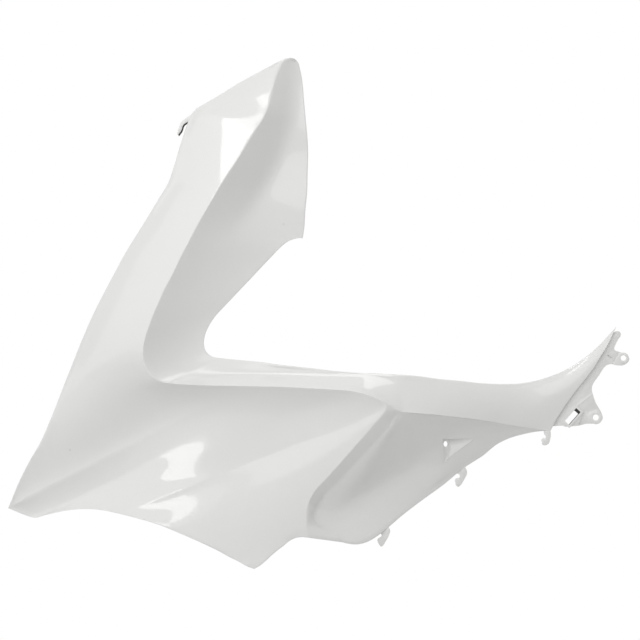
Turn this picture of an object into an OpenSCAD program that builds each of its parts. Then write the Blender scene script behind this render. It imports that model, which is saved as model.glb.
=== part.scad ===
// Left outer side panel of a family scooter, one thin-walled moulding.
// Frame: +X to the rear of the scooter, +Z up, the painted face looks to -Y.
// The origin is the centre of the rear screw hole, on the face of its pad.

/* [Part] */
// Which node is drawn

/* [Overall] */
// Length along the scooter, tabs included
panel_l = 686; // [660:1:710]
// Height from the spur to the tip of the blade
panel_h = 562; // [540:1:585]

/* [Shell] */
// Thickness of the moulded wall
wall_t = 2.6; // [2.2:0.1:3.2]
// How far the painted face stands out, as a share of the drawn depth
depth_scale = 1; // [0.9:0.05:1.1]
// Tuck of the skin under the waist crease
tuck_d = 9; // [4:1:12]
// How soon the blade face levels out behind its crease
blade_run = 90; // [70:5:120]
// Crown of the rear wing above its fold
wing_crown = 5; // [0:1:7]
// Crown of the front skin between its edge and the crease
crown_d = 7; // [2:1:10]
// Height of the turned-in rim along the free edges
rim_h = 5; // [3:0.5:7]

/* [Rear flange] */
// Thickness of the flange and its tabs
flange_t = 3; // [2.5:0.1:3.5]
// Step from the painted lip down to the flange
step_d = 4; // [3:0.5:5]
// Bore of the rear screw hole
rear_bore_d = 6.5; // [5:0.1:7]
// Bore of the upper screw hole
upper_bore_d = 6; // [5:0.1:6.5]
// Diameter of the raised pad round the rear hole
pad_d = 15; // [13:0.5:16]
// Clip window, length and width
window_l = 19; // [16:0.5:20]
// Width of the clip window
window_w = 6.5; // [5:0.5:7.5]

/* [Scoop] */
// Bore of the screw hole in the scoop
scoop_bore_d = 6.5; // [5:0.1:7]

/* [Hooks] */
// Thickness of the edge hooks
hook_t = 4; // [3:0.5:5]

/* [Bosses] */
// Diameter of the locating bosses on the back
boss_d = 7; // [6:0.5:9]
// How far the bosses stand back from the skin
boss_h = 12; // [8:1:15]

/* [Hidden] */
// The points below are drawn for these overall sizes and take the asked ones
drawn_l = 686;
drawn_h = 562;
wide = panel_l / drawn_l;
high = panel_h / drawn_h;
function sized(p) = len(p) == 3 ? [p[0] * wide, p[1] * high, p[2] * depth_scale]
    : [p[0] * wide, p[1] * high];
function all_sized(s) = [for (p = s) sized(p)];
// Depth of the painted lip in front of the face of the rear pad
lip_d = 3;
// The rails run along the panel: x, z and depth outward, in stretches that meet at corners
front_rail = [
    [[-348, 393.5, 17], [-359.5, 387.5, 16.5], [-370.5, 381.5, 16], [-392.5, 369.5, 16],
     [-414.5, 356, 16], [-441, 340.5, 16]],
    [[-441, 340.5, 16], [-448.5, 330, 18], [-451, 322.5, 20], [-459, 298, 27],
     [-465.5, 275.5, 33], [-471, 259.5, 36], [-481.5, 241.5, 40], [-499, 212.5, 44],
     [-517, 183.5, 48]],
    [[-517, 183.5, 48], [-533, 154, 51], [-544, 133, 53], [-556.5, 107.5, 54],
     [-566, 85.5, 54], [-577, 58, 52], [-585, 38, 50]],
    [[-585, 38, 50], [-592.5, 18.5, 47], [-601.5, -3.5, 43], [-612.5, -28, 36],
     [-623.5, -46.5, 28], [-634.5, -67.5, 18], [-648.5, -100, 2]],
    [[-648.5, -100, 2], [-636.5, -105, 6], [-625.5, -109, 10], [-620, -110.5, 13],
     [-607, -107.5, 20], [-590.5, -103.5, 28], [-574, -101, 35]],
    [[-574, -101, 35], [-557.5, -100.5, 42], [-541, -102, 49], [-524.5, -105.5, 55]],
    [[-524.5, -105.5, 55], [-502.5, -111, 62], [-480.5, -117.5, 68], [-458.5, -126.5, 72],
     [-436.5, -136, 75], [-414.5, -146.5, 77]],
    [[-414.5, -146.5, 77], [-405.5, -151.5, 77.5], [-394.5, -157, 78]],
    [[-394.5, -157, 78], [-383.5, -163, 79], [-376.5, -165.5, 79]]];
crease_rail = [
    [[-343, 395.5, 18], [-347.5, 390, 21], [-350.5, 382.5, 24], [-353.5, 376, 27],
     [-355.5, 367, 31], [-358.5, 355, 35], [-360.5, 345, 39], [-367.5, 328.5, 45]],
    [[-367.5, 328.5, 45], [-376, 315.5, 49], [-386, 299, 54], [-395.5, 283.5, 59],
     [-405.5, 268, 63], [-414.5, 254, 67], [-423, 239.5, 71], [-438.5, 212, 76]],
    [[-438.5, 212, 76], [-449.5, 191, 80], [-458.5, 173.5, 83], [-467, 156, 86],
     [-475, 140.5, 88], [-480.5, 128.5, 90], [-487, 114, 92], [-492.5, 98.5, 93],
     [-496.5, 85.5, 94], [-498, 74.5, 94], [-497.5, 63.5, 93], [-494, 55, 92]],
    [[-494, 55, 92], [-490.5, 49, 91], [-483.5, 43, 90], [-475, 39.5, 90], [-464, 38, 90],
     [-436.5, 36.5, 91], [-387, 35.5, 92]],
    [[-387, 35.5, 92], [-348.5, 34.5, 92], [-304.5, 32.5, 90], [-288, 31.5, 89]],
    [[-288, 31.5, 89], [-273.5, 30.5, 88], [-263.5, 29, 87], [-252.5, 26, 86],
     [-243, 22, 85], [-235, 17.5, 84], [-231, 12.5, 83]],
    [[-231, 12.5, 83], [-233, 7.5, 83], [-244, -6, 83], [-260.5, -25, 84],
     [-282.5, -50, 85], [-299, -68.5, 85], [-310, -80.5, 85], [-315.5, -90.5, 85]],
    [[-315.5, -90.5, 85], [-318, -101.5, 84], [-318.5, -114.5, 83]],
    [[-318.5, -114.5, 83], [-318.5, -131, 81]]];
rear_rail = [
    [[-336.5, 396.5, 17], [-331.5, 395, 14], [-328.5, 391.5, 12], [-326.5, 384.5, 11],
     [-324, 371.5, 10], [-322, 349.5, 11], [-320, 327.5, 13]],
    [[-320, 327.5, 13], [-318, 305.5, 13], [-317.5, 289, 13], [-318, 272.5, 14],
     [-318.5, 250.5, 16], [-320.5, 228.5, 18], [-322, 206.5, 20], [-323.5, 197.5, 22]],
    [[-323.5, 197.5, 22], [-329.5, 197.5, 23], [-335, 196, 25], [-340.5, 193.5, 27],
     [-345, 190, 29], [-359.5, 175.5, 33], [-376, 158, 38], [-392.5, 140.5, 43],
     [-409, 123, 47], [-420, 111, 50], [-426.5, 101, 52], [-431, 90, 53], [-432, 81, 54]],
    [[-432, 81, 54], [-430.5, 74.5, 54], [-426.5, 69.5, 54.5], [-420, 66.5, 55],
     [-412, 65.5, 55.5], [-392.5, 63.5, 57], [-370.5, 61.5, 59], [-348.5, 58.5, 61]],
    [[-348.5, 58.5, 61], [-326.5, 56, 60.5], [-304.5, 53.5, 59.5], [-282.5, 51, 58],
     [-260.5, 49.5, 56]],
    [[-260.5, 49.5, 56], [-244, 49, 54], [-227.5, 48, 52], [-216.5, 47.5, 50]],
    [[-216.5, 47.5, 50], [-194.5, 45.5, 42.5], [-172.5, 42.5, 34], [-150.5, 40.5, 26],
     [-128.5, 38, 18], [-106.5, 37, 11], [-84.5, 37.5, 5]],
    [[-84.5, 37.5, 5], [-62.5, 41.5, 0.5], [-51.5, 45, -0.5], [-40.5, 49, -1.5]],
    [[-40.5, 49, -1.5], [-29.5, 54.5, -2], [-18.5, 61.5, -2], [-7.5, 69.5, -1],
     [3.5, 79.5, 0], [12.5, 89, 1], [22.5, 100, lip_d]]];
foot_rail = [
    [[-214, 6.5, 74], [-221, 2.5, 74], [-229.5, -10, 74], [-249.5, -32, 74],
     [-271.5, -55.5, 74], [-288, -73, 74], [-299, -84, 73.5], [-305.5, -92.5, 73]],
    [[-305.5, -92.5, 73], [-310, -101.5, 73], [-311, -108, 73], [-309, -113.5, 72.5]],
    [[-309, -113.5, 72.5], [-296.5, -123.5, 71.5], [-285.5, -131, 70], [-280, -136.5, 67]]];
fold_rail = [
    [[-214, 6.5, 74], [-194.5, 5, 66], [-172.5, 3, 55], [-150.5, 0.5, 44],
     [-134, -1.5, 36], [-106.5, -6, 22]],
    [[-106.5, -6, 22], [-90, -9, 15]],
    [[-90, -9, 15], [-68, -12.5, 7], [-50, -15, lip_d]]];
spur_rail =
    [[-376.5, -165.5, 79], [-370.5, -162, 79.5], [-365, -157.5, 80], [-354, -147.5, 80.5],
     [-345, -140.5, 81], [-337.5, -134.5, 81], [-331, -131.5, 81], [-324, -130.5, 81],
     [-318.5, -131, 81]];
belly_rail =
    [[-280, -137, 67], [-264, -139, 62], [-253, -136.5, 57], [-241.5, -130, 52],
     [-230.5, -121.5, 46], [-214.5, -108, 37], [-192, -91, 25], [-169.5, -75, 15],
     [-144, -54.5, 9], [-124.5, -42, 6.5], [-109, -29.5, 5], [-95.5, -23, 4.5],
     [-80, -18.5, 4], [-57.5, -15, 3], [-50, -15, lip_d]];
lip_rail =
    [[-50, -15, lip_d], [-46.5, -8, lip_d], [-35.5, 10, lip_d], [-21, 30.5, lip_d], [-6.5, 48.5, lip_d],
     [4.5, 65.5, lip_d], [15.5, 84.5, lip_d], [22.5, 100, lip_d]];

rear_at = [0, 0];
upper_at = sized([30.5, 65.5]);
flange_y = step_d - lip_d;
upper_pad_d = 12;
upper_pad_h = 0.5;
rim_up = 1;
window_at = sized([-25.5, 1]);
window_turn = 48.5;
flange_edge = [
    [-45, -9.5], [-36, -9], [-34, -10.5], [-27.5, -10], [-17.5, -9], [-11, -7],
    [-2.5, -7], [3, -6], [7, -3], [8, 0], [6, 6], [2, 12.5], [-1, 18], [-3.5, 26.5],
    [-4.5, 30.5], [-4, 35], [-1.5, 39.5], [3, 45.5], [9, 55], [12.5, 58], [18, 59],
    [20, 58], [26, 57], [31, 57.5], [35.5, 60.5], [37.5, 65], [34.5, 69.5], [26, 72.5],
    [21, 74], [20, 76.5], [24, 85], [28, 90.5], [27, 94.5], [23, 95.5], [18, 92.5],
    [1, 66], [-24.5, 31.5], [-39.5, 11], [-51, -6], [-49.5, -10]];
// Each hook: its front face, then its outline
hook_edges = [
    [-3.2, [[-57.5, -13], [-57.5, -18], [-55, -21], [-56, -23], [-58.5, -22.5], [-60.5, -25],
        [-59.5, -27.5], [-60, -29.5], [-57.5, -31], [-54.5, -30.5], [-52, -29],
        [-51, -26.5], [-50, -22.5], [-49.5, -19], [-50.5, -12.5]]],
    [-9.5, [[-144, -55], [-142.5, -58.5], [-142, -61], [-143, -64.5], [-146, -69.5],
        [-148.5, -74], [-152, -77], [-155, -74.5], [-155, -72], [-156, -69],
        [-153.5, -66.5], [-151, -67], [-150, -64.5], [-151, -62.5], [-155.5, -61],
        [-153, -55], [-147, -51.5]]],
    [-45.5, [[-228.5, -121], [-227, -124], [-227.5, -126.5], [-229.5, -131.5],
        [-232.5, -136.5], [-234.5, -140], [-237, -142], [-239, -140.5], [-241, -136.5],
        [-241.5, -133.5], [-238.5, -131.5], [-236, -129.5], [-239.5, -125], [-235, -120],
        [-229.5, -117]]]];
// Scoop: x, z and depth round its mouth and its bed, and the same for the cup behind it
scoop_mouth = [[-169.5, -23.5], [-167.5, -47.5], [-160.5, -42.5], [-134, -23], [-161, -23.5]];
scoop_bed = [-21, -19.9, -15.9, -15.7, -16.2];
scoop_out = [-75, -75, -75, -75, -75];
cup_edge = [[-172, -21], [-170, -52.5], [-162.5, -47], [-129.5, -22], [-161, -21]];
cup_front = [-31.2, -19.7, -18.3, -14, -25.8];
cup_back = [-19.4, -18.3, -14, -12, -13.2];
seat_at = [-165.5, -18.7, -29];
seat_turn = 29.7;
tongue_y = -16;
tongue_deep = 14;
tongue_edge = [
    [-441, 339], [-448.5, 332.5], [-453.5, 329], [-457.5, 326], [-459.5, 321],
    [-462, 314], [-461.5, 310.5], [-457, 316.5], [-455.5, 322.5], [-451, 325.5],
    [-446.5, 329], [-439.5, 334]];
rib_t = 2;
rib_h = 7;
rib_root = 1.2;
// Ribs on the back: row of the grid, first and last column
rib_runs = [[11, 2, 11], [18, 2, 11], [24, 2, 11], [33, 3, 11], [49, 3, 12]];
// Bosses stand behind the two small marks on the skin: x, z and where each starts
boss_at = [[-579.5, -35.5, -39], [-344.5, 213, -24.2]];

// Bend of the ledge behind the waist crease
waist_bend = 2;
// Stations laid along each stretch of the rails, the last ones close to the free edge
stations = [7, 8, 12, 8, 5, 4, 9, 3, 5];
front_n = 14;
band_n = 3;
floor_n = 10;
rear_n = 12;
k_waist = stations[0] + stations[1] + stations[2];
k_turn = k_waist + stations[3] + stations[4];
k_split = k_turn + stations[5];
k_end = k_split + stations[6] + stations[7] + stations[8];
j_crease = front_n;
j_foot = j_crease + band_n;
j_fold = j_foot + floor_n;
j_end = j_fold + rear_n;
// Width of the rim and where the skin behind it starts
rim_w = 2.6;
rim_foot = 4.2;

// A smooth curve through the points of one stretch, read at shares of its length
function chords(p, i = 0, s = 0) =
    i >= len(p) - 1 ? [s] : concat([s], chords(p, i + 1, s + norm(p[i + 1] - p[i])));
function slope(p, t, i) =
    i == 0 ? (p[1] - p[0]) / t[1]
    : i == len(p) - 1 ? (p[i] - p[i - 1]) / (t[i] - t[i - 1])
    : let (a = t[i] - t[i - 1], b = t[i + 1] - t[i])
      ((p[i] - p[i - 1]) / a * b + (p[i + 1] - p[i]) / b * a) / (a + b);
function span(t, s, i = 0) = i >= len(t) - 2 || s <= t[i + 1] ? i : span(t, s, i + 1);
function hermite(p, q, m, n, h, u) =
    (2 * u * u * u - 3 * u * u + 1) * p + (u * u * u - 2 * u * u + u) * h * m
    + (3 * u * u - 2 * u * u * u) * q + (u * u * u - u * u) * h * n;
function read(p, shares, before = [], after = []) =
    let (q = concat(before, p, after), t = chords(q),
         m = [for (i = [0:len(q) - 1]) slope(q, t, i)],
         a = t[len(before)], b = t[len(before) + len(p) - 1])
    [for (f = shares) let (s = a + (b - a) * f, i = span(t, s), h = t[i + 1] - t[i])
        hermite(q[i], q[i + 1], m[i], m[i + 1], h, (s - t[i]) / h)];
function even(n) = [for (i = [0:n]) i / n];
function to_edge(p, n) =
    let (t = chords(p), e = min(0.09, rim_w / t[len(t) - 1]), g = e * rim_foot / rim_w)
    concat([for (i = [0:n - 2]) (1 - g) * i / (n - 2)], [1 - e, 1]);
// Stretches join smoothly unless the joint is a corner
function rail(s, corners, first = 0) =
    let (last = len(s) - 1)
    [for (i = [0:last])
        let (n = stations[i + first], p = s[i],
             q = i == 0 || corners[i] ? [] : [s[i - 1][len(s[i - 1]) - 2]],
             r = i == last || corners[i + 1] ? [] : [s[i + 1][1]],
             c = read(p, i == last ? to_edge(p, n) : even(n), q, r))
        for (k = [0:i == last ? n : n - 1]) c[k]];
function mix(a, b, v) = a + (b - a) * v;
function clamp(v) = max(0, min(1, v));
function ease(v) = let (c = clamp(v)) c * c * (3 - 2 * c);

front_c = rail([for (s = front_rail) all_sized(s)], [1, 1, 0, 0, 1, 0, 0, 0, 0]);
crease_c = rail([for (s = crease_rail) all_sized(s)], [0, 0, 0, 0, 0, 0, 0, 0, 0]);
rear_c = rail([for (s = rear_rail) all_sized(s)], [0, 0, 1, 0, 0, 0, 0, 0, 0]);
foot_c = rail([for (s = foot_rail) all_sized(s)], [0, 0, 0], 6);
fold_c = rail([for (s = fold_rail) all_sized(s)], [0, 0, 0], 6);
belly_c = read(all_sized(belly_rail), even(floor_n));

// Shares across the front and rear skins, with two columns kept for the rim
function front_share(k, j) =
    let (w = norm(crease_c[k] - front_c[k]), e = min(0.09, rim_w / w), g = e * rim_foot / rim_w)
    j == 0 ? 0 : j == 1 ? e : mix(g, 1, (j - 2) / (front_n - 2));
function rear_share(k, j) =
    let (w = norm(rear_c[k] - fold_at(k)), e = min(0.09, rim_w / w), g = e * rim_foot / rim_w)
    j == rear_n ? 1 : j == rear_n - 1 ? 1 - e : (1 - g) * j / (rear_n - 2);
lip_c = read(all_sized(lip_rail), [for (j = [0:rear_n]) rear_share(k_end, j)]);

// Where the foot of the wall band runs before the recess opens
function foot_at(k) =
    k >= k_split ? foot_c[k - k_split]
    : let (w = clamp((k - k_turn) / (k_split - k_turn)),
           r0 = mix(crease_c[k_split], rear_c[k_split], 0.3))
      mix(crease_c[k], rear_c[k], 0.3) + (foot_c[0] - r0) * w * w;
function fold_at(k) = k >= k_split ? fold_c[k - k_split] : foot_at(k);

// Swellings and dips: centre x and z, half length, half width, angle, height
swells = [
    [-440, -40, 120, 26, 32, 9],
    [-500, 0, 110, 22, 32, -8],
    [-560, -40, 60, 16, 34, 5],
    [-540, -78, 60, 12, 4, -5]];
function swell(s, x, z) =
    let (a = s[4], u = (x - s[0]) * cos(a) + (z - s[1]) * sin(a),
         w = (z - s[1]) * cos(a) - (x - s[0]) * sin(a))
    s[5] * exp(-u * u / s[2] / s[2] - w * w / s[3] / s[3]);
function swelling(x, z) = [for (s = swells) 1] * [for (s = swells) swell(s, x, z)];

// How far a row of the grid has come on the way to the bottom edge
function reach(k) = let (e = fold_c[k_end - k_split])
    k <= k_split ? 0 : 1 - norm(e - fold_c[k - k_split]) / norm(e - fold_c[0]);
spur_c = read(all_sized(spur_rail), [for (j = [0:front_n]) front_share(k_end, j)]);

// Front skin: a crown, the swellings, and the tuck close under the waist crease
function front_point(k, j) =
    let (v = front_share(k, j), p = mix(front_c[k], crease_c[k], v)
             + (spur_c[j] - mix(front_c[k_end], crease_c[k_end], front_share(k_end, j)))
             * pow(reach(k), 8),
         wide = norm(crease_c[k] - front_c[k]), w = (1 - v) * wide,
         t = tuck_d * ease((k - k_waist + 3) / 6) * (1 - ease((k - k_split + 3) / 4)),
         e = ease(v * 4) * ease((1 - v) * 4))
    [p[0], p[1], p[2] - t * v * (1 - exp(-w / 8)) + crown_d * min(1, wide / 120) * 4 * v * (1 - v)
        * (1 - reach(k)) + swelling(p[0], p[1]) * e];
// Behind the crease the skin falls fast and then levels out: how bent that fall is
function plan(p) = [p[0], p[1]];
function bend(k) =
    let (blade = norm(plan(rear_c[k] - crease_c[k])) / blade_run,
         waist = mix(blade, waist_bend, ease((k - k_waist + 4) / 8)))
    mix(waist, 0.01, ease((k - k_turn + 3) / 7));
function fall(k, s) = let (c = bend(k)) (1 - exp(-c * s)) / (1 - exp(-c));
// Near the recess the skin is lifted to meet the foot of the wall band
function lift(k) =
    let (w = clamp((k - k_turn) / (k_split - k_turn)))
    (foot_c[0][2] - mix(crease_c[k_split][2], rear_c[k_split][2], 0.3)) * w * w;
function fallen(k, p, s) =
    [p[0], p[1], mix(crease_c[k][2], rear_c[k][2], fall(k, s))
        + lift(k) * min(s / 0.3, (1 - s) / 0.7)];
function band_point(k, j) =
    let (v = j / band_n, p = mix(crease_c[k], foot_at(k), v))
    k < k_split ? fallen(k, p, 0.3 * v) : p;
function floor_point(k, j) =
    let (v = j / floor_n) mix(foot_at(k), fold_at(k), v)
        + (belly_c[j] - mix(foot_at(k_end), fold_at(k_end), v)) * reach(k);
function rear_point(k, j) =
    let (v = rear_share(k, j), f = reach(k))
    (k < k_split ? fallen(k, mix(fold_at(k), rear_c[k], v), 0.3 + 0.7 * v)
        : mix(fold_at(k), rear_c[k], v) + [0, 0, wing_crown * 4 * v * (1 - v)
            * ease((k - k_split) / 5) * (1 - f)])
        + (lip_c[j] - mix(fold_at(k_end), rear_c[k_end], rear_share(k_end, j))) * f * f * f;
function skin_point(k, j) =
    j <= j_crease ? front_point(k, j)
    : j <= j_foot ? band_point(k, j - j_crease)
    : j < j_fold ? floor_point(max(k, k_split), j - j_foot)
    : rear_point(k, j - j_fold);
drawn = [for (k = [0:k_end]) [for (j = [0:j_end])
    let (p = skin_point(k, j)) [p[0], -p[2], p[1]]]];

// The drawn skin is faired: each depth drifts to the mean of its neighbours. The blade
// face behind its crease is smooth as drawn
function folded(k, j) = k <= k_split && j > j_foot && j <= j_fold;
function free(k, j) =
    k > 0 && k < k_end && j > 1 && j < j_end - 1 && j != j_crease
    && !(k >= k_split && (j == j_foot || j == j_fold)) && !folded(k, j)
    && !(k < k_waist - 3 && j > j_crease);
function pull(a, b, c) = let (u = norm(a - b), v = norm(c - b)) (a[1] * v + c[1] * u) / (u + v);
function faired(g, n) =
    n == 0 ? g : faired([for (k = [0:k_end]) [for (j = [0:j_end])
        let (p = g[k][j]) !free(k, j) ? (folded(k, j) ? g[k][j_foot] : p)
        : let (r = k < k_split && j == j_foot ? j_fold + 1 : j + 1,
               l = k <= k_split && j == j_fold + 1 ? j_foot : j - 1,
               y = (pull(g[k][l], p, g[k][r]) + pull(g[k - 1][j], p, g[k + 1][j])) / 2)
          [p[0], mix(p[1], y, 0.6), p[2]]]], n - 1);
skin = faired(drawn, 10);

// How squarely each point faces outward sets how far back its inner face lies
function cell(k, j) =
    k < 0 || j < 0 || k >= k_end || j >= j_end ? [0, 0, 0]
    : k < k_split && j >= j_foot && j < j_fold ? [0, 0, 0]
    : cross(skin[k + 1][j + 1] - skin[k][j], skin[k + 1][j] - skin[k][j + 1]);
function facing(k, j) =
    let (s = k <= k_split && j == j_foot ? cell(k - 1, j_fold) + cell(k, j_fold) : [0, 0, 0],
         n = cell(k - 1, j - 1) + cell(k - 1, j) + cell(k, j - 1) + cell(k, j) + s)
    n / max(norm(n), 0.001);
function on_rim(k, j) = j <= 1 || j >= j_end - 1 || k >= k_end - 1;
function back_point(k, j) =
    skin[k][j] + [0, wall_t / max(abs(facing(k, j)[1]), 0.45) + (on_rim(k, j) ? rim_h : 0), 0];
function rep(k, j) = k <= k_split && j > j_foot && j <= j_fold ? j_foot : j;
function index(k, j) = k * (j_end + 1) + rep(k, j);
half = (k_end + 1) * (j_end + 1);
function two(a, b, c, d, s) = s ? [[a, b, c], [a, c, d]] : [[c, b, a], [d, c, a]];
function whole(faces) =
    [for (f = faces) if (f[0] != f[1] && f[1] != f[2] && f[2] != f[0]) f];
function patch(s, o) = [for (k = [0:k_end - 1]) for (j = [0:j_end - 1])
    for (f = two(index(k, j) + o, index(k, j + 1) + o, index(k + 1, j + 1) + o,
        index(k + 1, j) + o, s)) f];
function side(a, b) = [[b, a, b + half], [b + half, a, a + half]];
edge_faces = [
    for (k = [0:k_end - 1]) for (f = side(index(k + 1, 0), index(k, 0))) f,
    for (k = [0:k_end - 1]) for (f = side(index(k, j_end), index(k + 1, j_end))) f,
    for (j = [0:j_end - 1]) if (index(0, j) != index(0, j + 1))
        for (f = side(index(0, j), index(0, j + 1))) f,
    for (j = [0:j_end - 1]) for (f = side(index(k_end, j + 1), index(k_end, j))) f];

module shell() {
    polyhedron(
        points = concat([for (r = skin) for (p = r) p],
            [for (k = [0:k_end]) for (j = [0:j_end]) back_point(k, j)]),
        faces = concat(whole(patch(true, 0)), whole(patch(false, half)), edge_faces),
        convexity = 12);
}

// A rib stands on the back of one row of the grid, from one column to another
module rib(k, j0, j1) {
    n = j1 - j0;
    side_way = [for (j = [j0:j1]) let (d = skin[k + 1][j] - skin[k - 1][j], e = [d[0], 0, d[2]])
        e / norm(e) * rib_t / 2];
    foot = [for (j = [j0:j1]) back_point(k, j) - [0, rib_root, 0]];
    ring = [[-1, 0], [1, 0], [1, 1], [-1, 1]];
    polyhedron(
        points = [for (i = [0:n]) for (r = ring)
            foot[i] + side_way[i] * r[0] + [0, (rib_h + rib_root) * r[1], 0]],
        faces = concat([[0, 1, 2], [0, 2, 3]],
            [[4 * n, 4 * n + 2, 4 * n + 1], [4 * n, 4 * n + 3, 4 * n + 2]],
            [for (i = [0:n - 1]) for (q = [0:3]) let (a = 4 * i + q, b = 4 * i + (q + 1) % 4)
                for (f = [[a, b + 4, b], [a, a + 4, b + 4]]) f]),
        convexity = 4);
}
module ribs() {
    for (r = rib_runs)
        rib(r[0], r[1], r[2]);
}
// A flat plate drawn in the side view, its front face at y
module plate(y, t) {
    translate([0, y + t, 0])
        rotate([90, 0, 0])
            linear_extrude(t) children();
}
// A bore along the depth, through everything between two depths
module bore(at, d, y0, y1) {
    translate([at[0], y1, at[1]])
        rotate([90, 0, 0])
            cylinder(h = y1 - y0, d = d, $fn = 48);
}

module flange() {
    plate(flange_y, flange_t) polygon(all_sized(flange_edge));
    bore(rear_at, pad_d, 0, flange_y + flange_t / 2);
    bore(upper_at, upper_pad_d, flange_y - upper_pad_h, flange_y + flange_t / 2);
    plate(flange_y - rim_up, flange_t) difference() {
        window_shape(2.2);
        window_shape(0.4);
    }
}
module window_shape(grow) {
    translate(window_at)
        rotate(window_turn)
            square([window_l + 2 * grow, window_w + 2 * grow], center = true);
}
module hooks() {
    for (h = hook_edges)
        plate(h[0] * depth_scale, hook_t) polygon(all_sized(h[1]));
}
module tongue() {
    plate(tongue_y * depth_scale, tongue_deep) polygon(all_sized(tongue_edge));
}
// A five-sided block: its outline, then the depth of each corner in front and at the back
module wedge(edge, front, back) {
    polyhedron(
        points = concat([for (i = [0:4]) [edge[i][0] * wide, front[i] * depth_scale, edge[i][1] * high]],
            [for (i = [0:4]) [edge[i][0] * wide, back[i] * depth_scale, edge[i][1] * high]]),
        faces = concat([[4, 1, 0], [4, 2, 1], [4, 3, 2], [5, 6, 9], [6, 7, 9], [7, 8, 9]],
            [for (i = [0:4]) let (n = (i + 1) % 5) for (f = [[i, n, n + 5], [i, n + 5, i + 5]]) f]));
}
module seat_bore() {
    translate([seat_at[0] * wide, seat_at[1] * depth_scale, seat_at[2] * high])
        rotate([0, 0, seat_turn])
            rotate([90, 0, 0])
                translate([0, 0, -6])
                    cylinder(h = 9, d = scoop_bore_d, $fn = 48);
}
module bosses() {
    for (b = boss_at)
        bore(sized(b), boss_d, b[2] * depth_scale, b[2] * depth_scale + boss_h);
}

module side_panel() {
    color([0.93, 0.93, 0.91])
    difference() {
        union() {
            shell();
            wedge(cup_edge, cup_front, cup_back);
            flange();
            hooks();
            tongue();
            bosses();
            ribs();
        }
        wedge(scoop_mouth, scoop_out, scoop_bed);
        seat_bore();
        bore(rear_at, rear_bore_d, -5, 10);
        bore(upper_at, upper_bore_d, -5, 10);
        plate(-6, 20) window_shape(0);
    }
}

side_panel();
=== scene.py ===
import math
import bpy
import numpy as np
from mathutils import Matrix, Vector


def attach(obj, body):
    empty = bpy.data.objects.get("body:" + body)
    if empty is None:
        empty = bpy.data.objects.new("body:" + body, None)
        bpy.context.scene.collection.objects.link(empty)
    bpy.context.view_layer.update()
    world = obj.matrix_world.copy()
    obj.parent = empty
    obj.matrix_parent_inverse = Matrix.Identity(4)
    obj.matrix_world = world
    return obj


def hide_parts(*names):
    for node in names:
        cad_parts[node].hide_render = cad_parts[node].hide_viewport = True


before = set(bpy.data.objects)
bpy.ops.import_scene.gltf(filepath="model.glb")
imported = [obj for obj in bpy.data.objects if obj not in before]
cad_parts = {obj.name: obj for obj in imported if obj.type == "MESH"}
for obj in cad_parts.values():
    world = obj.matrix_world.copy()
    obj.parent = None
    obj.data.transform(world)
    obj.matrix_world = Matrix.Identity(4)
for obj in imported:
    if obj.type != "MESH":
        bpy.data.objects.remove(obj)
bpy.ops.object.select_all(action="DESELECT")
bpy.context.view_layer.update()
mm = 0.001

# The rails of the skin in mm: x, z and depth outward, in stretches that meet at corners
frontRail = [
    [
        (-348, 393.5, 17), (-359.5, 387.5, 16.5), (-370.5, 381.5, 16), (-392.5, 369.5, 16),
        (-414.5, 356, 16), (-441, 340.5, 16)],
    [
        (-441, 340.5, 16), (-448.5, 330, 18), (-451, 322.5, 20), (-459, 298, 27),
        (-465.5, 275.5, 33), (-471, 259.5, 36), (-481.5, 241.5, 40), (-499, 212.5, 44),
        (-517, 183.5, 48)],
    [
        (-517, 183.5, 48), (-533, 154, 51), (-544, 133, 53), (-556.5, 107.5, 54),
        (-566, 85.5, 54), (-577, 58, 52), (-585, 38, 50)],
    [
        (-585, 38, 50), (-592.5, 18.5, 47), (-601.5, -3.5, 43), (-612.5, -28, 36),
        (-623.5, -46.5, 28), (-634.5, -67.5, 18), (-648.5, -100, 2)],
    [
        (-648.5, -100, 2), (-636.5, -105, 6), (-625.5, -109, 10), (-620, -110.5, 13),
        (-607, -107.5, 20), (-590.5, -103.5, 28), (-574, -101, 35)],
    [(-574, -101, 35), (-557.5, -100.5, 42), (-541, -102, 49), (-524.5, -105.5, 55)],
    [
        (-524.5, -105.5, 55), (-502.5, -111, 62), (-480.5, -117.5, 68), (-458.5, -126.5, 72),
        (-436.5, -136, 75), (-414.5, -146.5, 77)],
    [(-414.5, -146.5, 77), (-405.5, -151.5, 77.5), (-394.5, -157, 78)],
    [(-394.5, -157, 78), (-383.5, -163, 79), (-376.5, -165.5, 79)],
]
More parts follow.
